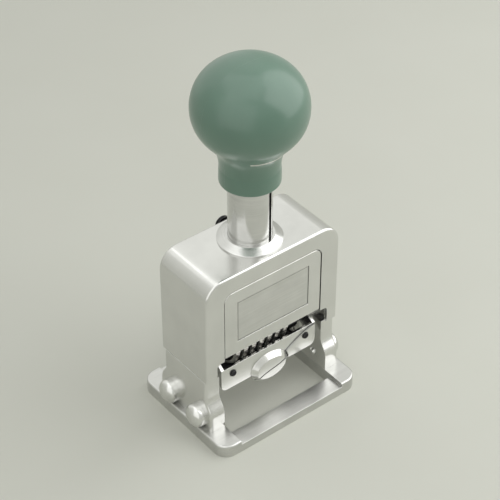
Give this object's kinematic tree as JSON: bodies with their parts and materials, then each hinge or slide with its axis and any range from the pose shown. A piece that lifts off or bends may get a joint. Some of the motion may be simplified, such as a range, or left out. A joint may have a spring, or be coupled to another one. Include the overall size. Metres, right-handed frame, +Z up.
{
  "type": "numbering machine",
  "caption": "Hand numbering machine: a sprung plunger drives a head of ratchet number wheels down through its base while the ink pad holder swings out of the way",
  "frame": {"origin": "centre of the underside of the base, on the paper", "axes": "+X to the right of the front, +Y to the rear, +Z up along the plunger"},
  "size_m": [0.077, 0.056, 0.16],
  "materials": {
    "nickel_plate": "bright nickel plating over polished pressings and castings",
    "satin_steel": "satin-ground steel sheet",
    "bright_steel": "turned and polished steel",
    "zinc_casting": "plain zinc die casting",
    "spring_steel": "drawn spring steel",
    "wheel_steel": "hardened steel with cut figures",
    "black_oxide_steel": "black oxide on steel",
    "handle_plastic": "moulded grey-green thermoset with a soft gloss",
    "white_inlay": "white enamel fill",
    "inked_felt": "wool felt soaked with dark ink"
  },
  "bodies": {
    "frame": {"base_frame": "nickel_plate", "left_side_frame": "nickel_plate", "right_side_frame": "nickel_plate", "housing_shell": "nickel_plate", "top_bridge": "zinc_casting", "guide_collar": "nickel_plate", "cross_key": "bright_steel", "spring_seat": "bright_steel", "side_studs": "nickel_plate", "base_screws": "bright_steel", "housing_screws": "bright_steel"},
    "head": {"handle": "handle_plastic", "handle_index": "white_inlay", "stem": "bright_steel", "stem_nut": "bright_steel", "spring_plug": "bright_steel", "return_spring": "spring_steel", "head_frame": "satin_steel", "tie_rods": "bright_steel", "face_plate": "nickel_plate", "name_panel": "satin_steel", "rear_plate": "satin_steel", "wheel_axle": "bright_steel", "axle_nuts": "bright_steel", "detent_bar": "satin_steel", "detent_springs": "spring_steel", "selector_pin": "bright_steel"},
    "wheel_1": {"number_wheel_1": "wheel_steel"},
    "wheel_2": {"number_wheel_2": "wheel_steel"},
    "wheel_3": {"number_wheel_3": "wheel_steel"},
    "wheel_4": {"number_wheel_4": "wheel_steel"},
    "wheel_5": {"number_wheel_5": "wheel_steel"},
    "wheel_6": {"number_wheel_6": "wheel_steel"},
    "wheel_7": {"number_wheel_7": "wheel_steel"},
    "repeat_wheel": {"repeat_ratchet": "black_oxide_steel"},
    "feed": {"feed_yoke": "satin_steel", "feed_pawl": "black_oxide_steel"},
    "pad_holder": {"pad_tray": "nickel_plate", "ink_pad": "inked_felt", "pad_retainer": "nickel_plate", "pad_rivets": "black_oxide_steel", "pad_knob": "nickel_plate", "cam_pins": "bright_steel"},
    "selector": {"selector_lever": "black_oxide_steel"},
    "lock": {"lock_button": "black_oxide_steel"}
  },
  "joints": [
    {"name": "plunger", "type": "slide", "parent": "frame", "child": "head", "axis": [0, 0, -1], "range_m": [0, 0.0235], "stiffness_N_per_m": 700, "springref_m": -0.012, "deforming": ["return_spring"]},
    {"name": "pad_swing", "type": "hinge", "parent": "head", "child": "pad_holder", "pos_m": [0, 0, 0.034], "axis": [1, 0, 0], "range_deg": [0, 130]},
    {"name": "feed_swing", "type": "hinge", "parent": "head", "child": "feed", "pos_m": [0, 0, 0.034], "axis": [1, 0, 0], "range_deg": [0, 38]},
    {"name": "wheel_1_turn", "type": "hinge", "parent": "head", "child": "wheel_1", "pos_m": [0, 0, 0.034], "axis": [1, 0, 0], "continuous": true},
    {"name": "wheel_2_turn", "type": "hinge", "parent": "head", "child": "wheel_2", "pos_m": [0, 0, 0.034], "axis": [1, 0, 0], "continuous": true},
    {"name": "wheel_3_turn", "type": "hinge", "parent": "head", "child": "wheel_3", "pos_m": [0, 0, 0.034], "axis": [1, 0, 0], "continuous": true},
    {"name": "wheel_4_turn", "type": "hinge", "parent": "head", "child": "wheel_4", "pos_m": [0, 0, 0.034], "axis": [1, 0, 0], "continuous": true},
    {"name": "wheel_5_turn", "type": "hinge", "parent": "head", "child": "wheel_5", "pos_m": [0, 0, 0.034], "axis": [1, 0, 0], "continuous": true},
    {"name": "wheel_6_turn", "type": "hinge", "parent": "head", "child": "wheel_6", "pos_m": [0, 0, 0.034], "axis": [1, 0, 0], "continuous": true},
    {"name": "wheel_7_turn", "type": "hinge", "parent": "head", "child": "wheel_7", "pos_m": [0, 0, 0.034], "axis": [1, 0, 0], "continuous": true},
    {"name": "repeat_turn", "type": "hinge", "parent": "head", "child": "repeat_wheel", "pos_m": [0, 0, 0.034], "axis": [1, 0, 0], "continuous": true},
    {"name": "selector_turn", "type": "hinge", "parent": "head", "child": "selector", "pos_m": [0, 0.0125, 0.062], "axis": [0, 1, 0], "range_deg": [-40, 40]},
    {"name": "lock_press", "type": "slide", "parent": "frame", "child": "lock", "axis": [0, -1, 0], "range_m": [0, 0.0012], "stiffness_N_per_m": 500, "springref_m": -0.001}
  ],
  "couplings": [
    {"joint": "pad_swing", "follows": "plunger", "rad_per_m": 96.55},
    {"joint": "feed_swing", "follows": "plunger", "rad_per_m": 28.222}
  ]
}
